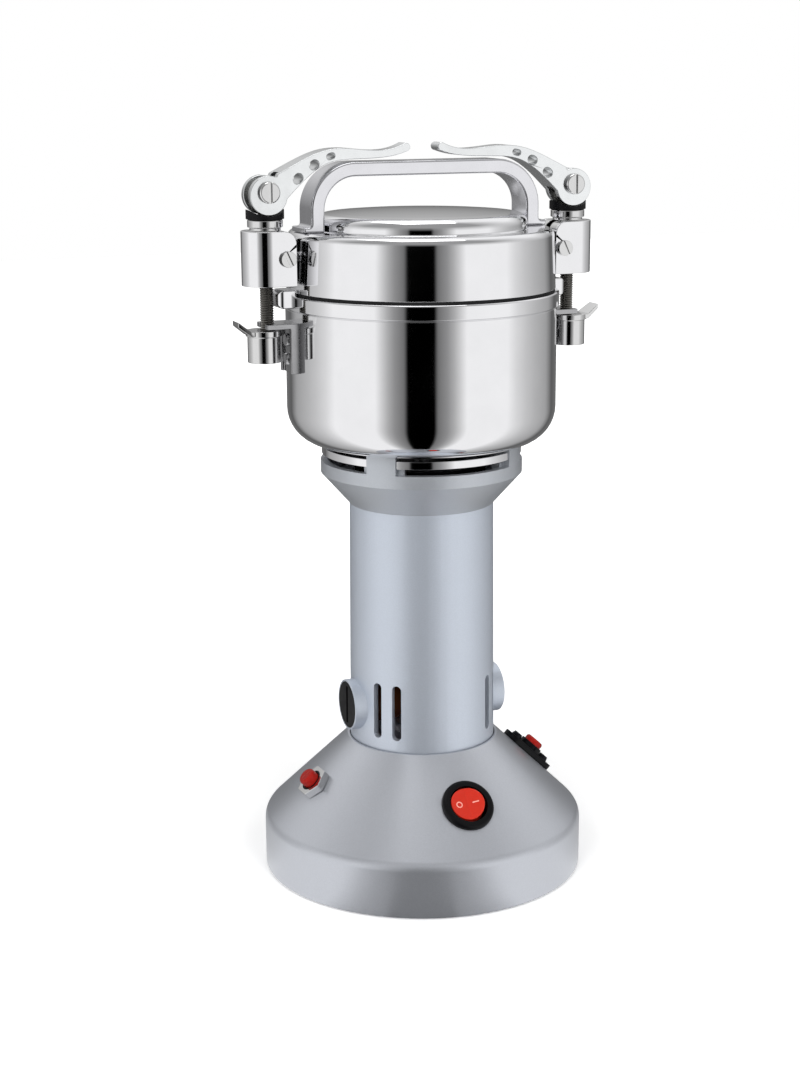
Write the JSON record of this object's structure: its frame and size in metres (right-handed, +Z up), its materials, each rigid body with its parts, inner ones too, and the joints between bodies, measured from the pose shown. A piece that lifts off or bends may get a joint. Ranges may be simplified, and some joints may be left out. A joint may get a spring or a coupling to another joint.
{
  "type": "electric grain mill",
  "caption": "Upright electric grain mill: weighted base with switch and buttons, motor column, steel grinding bowl with blades, and a lid held by two cam-lever clamps under a carry handle.",
  "frame": {"origin": "on the floor under the motor shaft, between the four rubber feet", "axes": "+Z up along the motor shaft; -Y is the front with the rocker switch; the clamps and the carry handle lie along X"},
  "size_m": [0.1692, 0.1474, 0.3272],
  "materials": {
    "base_paint": "satin metallic paint",
    "column_paint": "satin metallic paint",
    "collar_paint": "satin metallic paint",
    "polished_steel": "mirror polished",
    "satin_steel": "satin",
    "bearing_steel": "ground",
    "folded_steel": "satin",
    "black_steel": "blackened",
    "lamination_steel": "oiled",
    "spring_steel": "drawn",
    "threaded_steel": "rolled thread",
    "zinc_steel": "zinc plated",
    "bright_nickel": "plated",
    "cast_chrome": "plated casting",
    "polished_aluminium": "polished",
    "raw_aluminium": "cast",
    "enamelled_copper": "enamelled wire",
    "copper": "turned copper",
    "black_rubber": "matte",
    "black_nylon": "moulded",
    "black_phenolic": "moulded",
    "brown_phenolic": "moulded",
    "carbon": "pressed carbon",
    "red_nylon": "moulded",
    "dark_red_nylon": "moulded"
  },
  "bodies": {
    "root": {"base_housing": "base_paint", "bottom_plate": "zinc_steel", "rubber_feet": "black_rubber", "base_screws": "zinc_steel", "cord_grommet": "black_rubber", "switch_frame": "black_nylon", "reset_breaker": "black_nylon", "reset_nut": "bright_nickel", "button_housing": "black_nylon", "button_screws": "black_steel", "motor_housing": "column_paint", "brush_holders": "brown_phenolic", "carbon_brushes": "carbon", "brush_springs": "spring_steel", "brush_caps": "black_phenolic", "stator_core": "lamination_steel", "stator_coils": "enamelled_copper", "tie_bolts": "zinc_steel", "lower_bracket": "raw_aluminium", "lower_bearing": "bearing_steel", "collar": "collar_paint", "upper_bearing": "bearing_steel", "trim_ring": "polished_steel", "shaft_seal": "black_rubber", "bowl": "polished_steel", "bowl_bolts": "bearing_steel", "catch_brackets": "folded_steel", "catch_rivets": "satin_steel", "lid": "polished_steel", "lid_seal": "black_rubber", "handle": "polished_aluminium", "handle_screws": "zinc_steel", "clamp_pivots": "bright_nickel"},
    "rotor": {"motor_shaft": "bearing_steel", "armature_core": "lamination_steel", "armature_windings": "enamelled_copper", "commutator": "copper", "cooling_fan": "black_phenolic", "lower_blade": "satin_steel", "blade_spacers": "satin_steel", "upper_blade": "satin_steel", "blade_nut": "satin_steel"},
    "rocker": {"rocker_button": "red_nylon"},
    "reset": {"reset_button": "dark_red_nylon"},
    "push": {"side_button": "dark_red_nylon"},
    "left_clamp": {"left_clamp_strap": "polished_steel", "left_clamp_barrel": "bright_nickel", "left_cam_pad": "black_phenolic"},
    "left_rod": {"left_clamp_rod": "threaded_steel", "left_clamp_hook": "bright_nickel"},
    "left_lever": {"left_cam_lever": "cast_chrome", "left_lever_screw": "bright_nickel"},
    "right_clamp": {"right_clamp_strap": "polished_steel", "right_clamp_barrel": "bright_nickel", "right_cam_pad": "black_phenolic"},
    "right_rod": {"right_clamp_rod": "threaded_steel", "right_clamp_hook": "bright_nickel"},
    "right_lever": {"right_cam_lever": "cast_chrome", "right_lever_screw": "bright_nickel"}
  },
  "joints": [
    {"name": "blade_spin", "type": "hinge", "parent": "root", "child": "rotor", "pos_m": [0, 0, 0.2], "axis": [0, 0, 1], "continuous": true},
    {"name": "rocker_switch", "type": "hinge", "parent": "root", "child": "rocker", "pos_m": [0, -0.05114, 0.0417], "axis": [0, 0.7182, 0.6958], "range_deg": [0, 16]},
    {"name": "reset_press", "type": "slide", "parent": "root", "child": "reset", "axis": [0.6949, 0.0364, -0.7182], "range_m": [0, 0.0025], "stiffness_N_per_m": 400, "springref_m": -0.001},
    {"name": "push_press", "type": "slide", "parent": "root", "child": "push", "axis": [-0.6954, 0.0243, -0.7182], "range_m": [0, 0.002], "stiffness_N_per_m": 400, "springref_m": -0.001},
    {"name": "right_clamp_swing", "type": "hinge", "parent": "root", "child": "right_clamp", "pos_m": [0.0642, 0, 0.2805], "axis": [0, -1, 0], "range_deg": [0, 17]},
    {"name": "right_rod_slide", "type": "slide", "parent": "right_clamp", "child": "right_rod", "axis": [0, 0, -1], "range_m": [0, 0.001]},
    {"name": "right_cam_lever", "type": "hinge", "parent": "right_rod", "child": "right_lever", "pos_m": [0.0706, 0, 0.308], "axis": [0, 1, 0], "range_deg": [0, 100]},
    {"name": "left_clamp_swing", "type": "hinge", "parent": "root", "child": "left_clamp", "pos_m": [-0.0642, 0, 0.2805], "axis": [0, 1, 0], "range_deg": [0, 17]},
    {"name": "left_rod_slide", "type": "slide", "parent": "left_clamp", "child": "left_rod", "axis": [0, 0, -1], "range_m": [0, 0.001]},
    {"name": "left_cam_lever", "type": "hinge", "parent": "left_rod", "child": "left_lever", "pos_m": [-0.0706, 0, 0.308], "axis": [0, -1, 0], "range_deg": [0, 100]}
  ],
  "couplings": [
    {"joint": "right_clamp_swing", "follows": "right_cam_lever", "ratio": 0.17},
    {"joint": "right_rod_slide", "follows": "right_cam_lever", "m_per_rad": 0.00057},
    {"joint": "left_clamp_swing", "follows": "left_cam_lever", "ratio": 0.17},
    {"joint": "left_rod_slide", "follows": "left_cam_lever", "m_per_rad": 0.00057}
  ]
}
